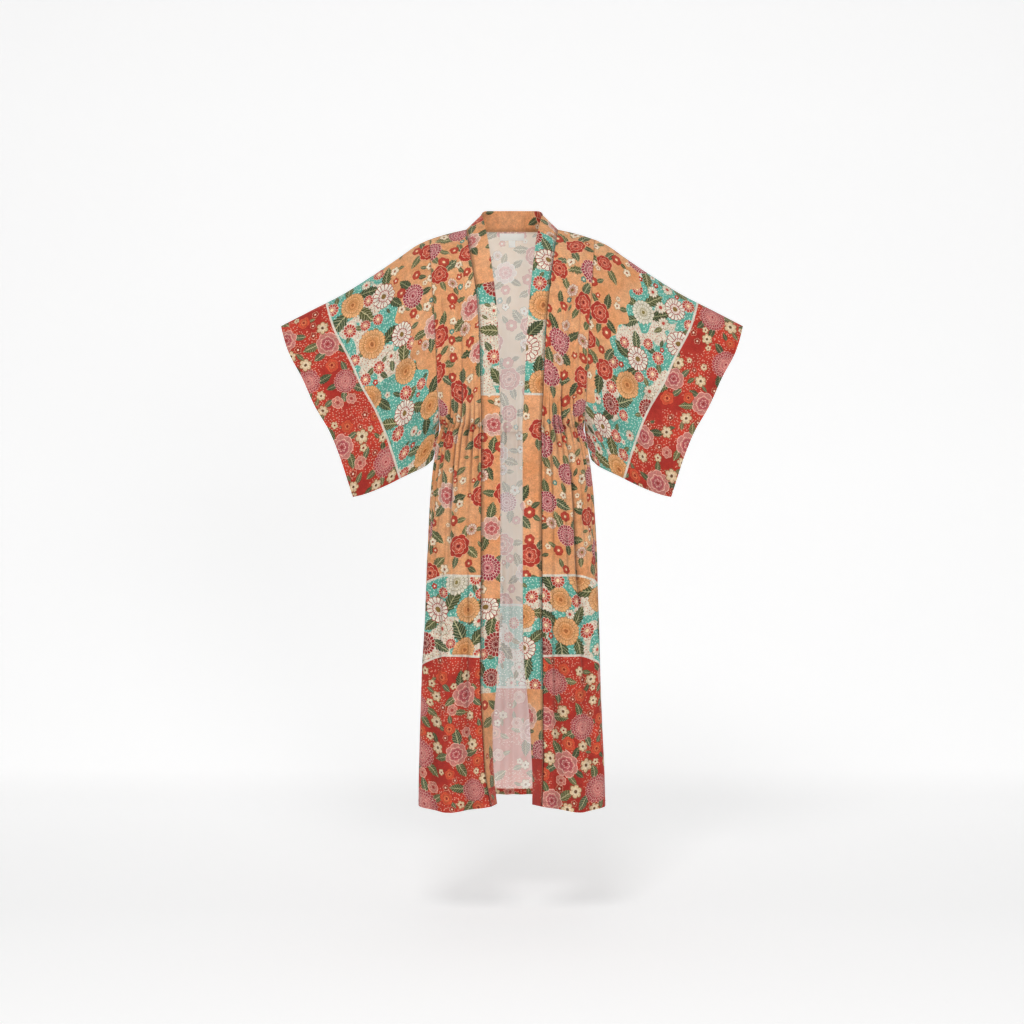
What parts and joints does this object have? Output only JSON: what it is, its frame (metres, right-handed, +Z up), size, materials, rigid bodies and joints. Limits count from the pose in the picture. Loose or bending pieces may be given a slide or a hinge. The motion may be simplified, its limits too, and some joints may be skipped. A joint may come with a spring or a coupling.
{
  "type": "kimono robe",
  "caption": "Long open-front robe with wide rectangular sleeves, a straight neckband and a gathered waist, filled out as if worn.",
  "frame": {"origin": "midway between the two shoulders, level with the seam at the side of the neck, where the wearer's shoulders carry the robe", "axes": "+Z up, -Y the open front, +X towards the right of a viewer who faces the front"},
  "size_m": [1.016, 0.2918, 1.3134],
  "materials": {
    "printed_cloth": "soft printed viscose crepe",
    "sleeve_cloth": "soft printed viscose crepe",
    "band_cloth": "doubled printed viscose crepe",
    "woven_label": "blank woven satin"
  },
  "bodies": {
    "root": {"back": "printed_cloth", "front_left": "printed_cloth", "front_right": "printed_cloth", "sleeve_left": "sleeve_cloth", "sleeve_right": "sleeve_cloth", "neckband": "band_cloth", "label": "woven_label", "size_tab": "woven_label"}
  },
  "joints": []
}
